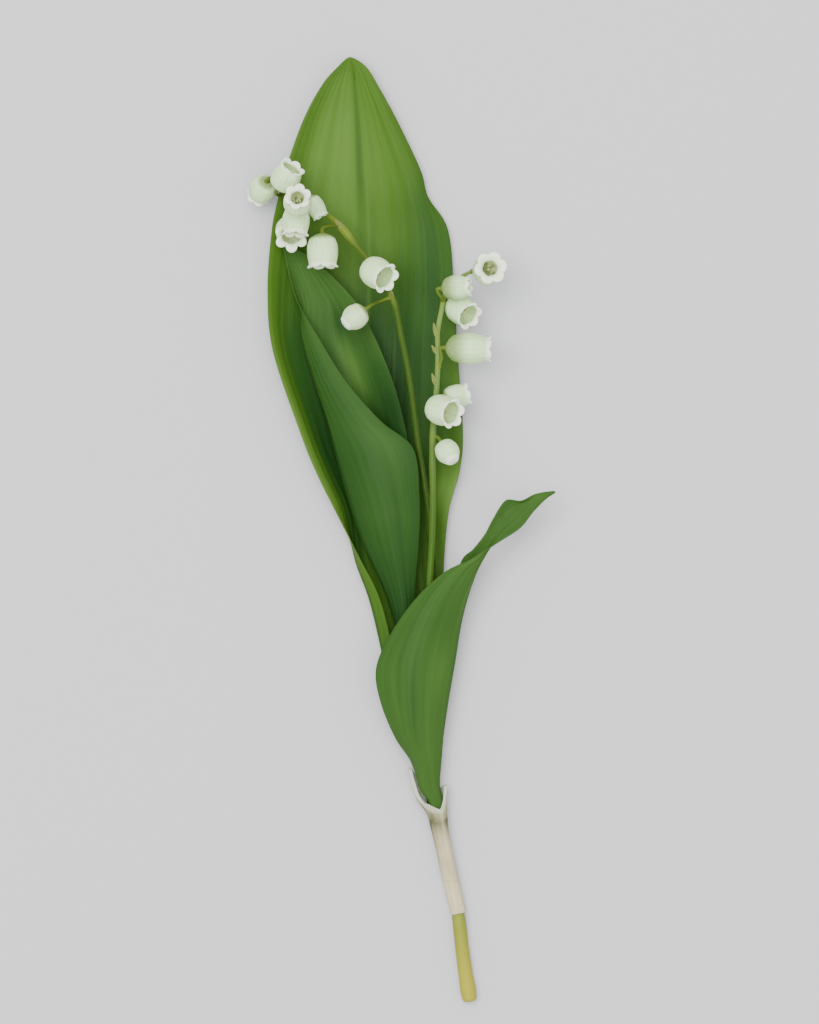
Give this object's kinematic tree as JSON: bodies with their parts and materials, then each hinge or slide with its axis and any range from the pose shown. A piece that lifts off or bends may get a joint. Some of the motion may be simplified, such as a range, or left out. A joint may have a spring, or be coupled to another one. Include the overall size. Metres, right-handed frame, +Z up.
{
  "type": "cut lily of the valley spray",
  "caption": "Cut spray of lily of the valley with broad leaves, slender stalks of nodding white bells and a short stem in a papery sheath, for decoration.",
  "frame": {"origin": "on the surface that the spray lies on, in the middle of the spray's footprint", "axes": "+Z up from the surface, +Y along the spray from the cut end of the stem to the leaf tips, +X to the right as the spray is looked down on"},
  "size_m": [0.0764, 0.2356, 0.0331],
  "materials": {
    "stem": "satin",
    "sheath": "matte",
    "leaf_back": "satin",
    "leaf_inner": "satin",
    "leaf_front": "satin",
    "flower_stalk": "satin",
    "bell": "satin"
  },
  "bodies": {
    "root": {"stem": "stem", "sheath": "sheath", "leaf_back": "leaf_back", "leaf_inner": "leaf_inner", "leaf_front": "leaf_front", "flower_stalk_left": "flower_stalk", "flower_stalk_right": "flower_stalk", "bell_left_1": "bell", "bell_left_2": "bell", "bell_left_3": "bell", "bell_left_4": "bell", "bell_left_5": "bell", "bell_left_6": "bell", "bell_left_7": "bell", "bell_left_8": "bell", "bell_left_9": "bell", "bell_right_1": "bell", "bell_right_2": "bell", "bell_right_3": "bell", "bell_right_4": "bell", "bell_right_5": "bell", "bell_right_6": "bell", "bell_right_7": "bell"}
  },
  "joints": []
}
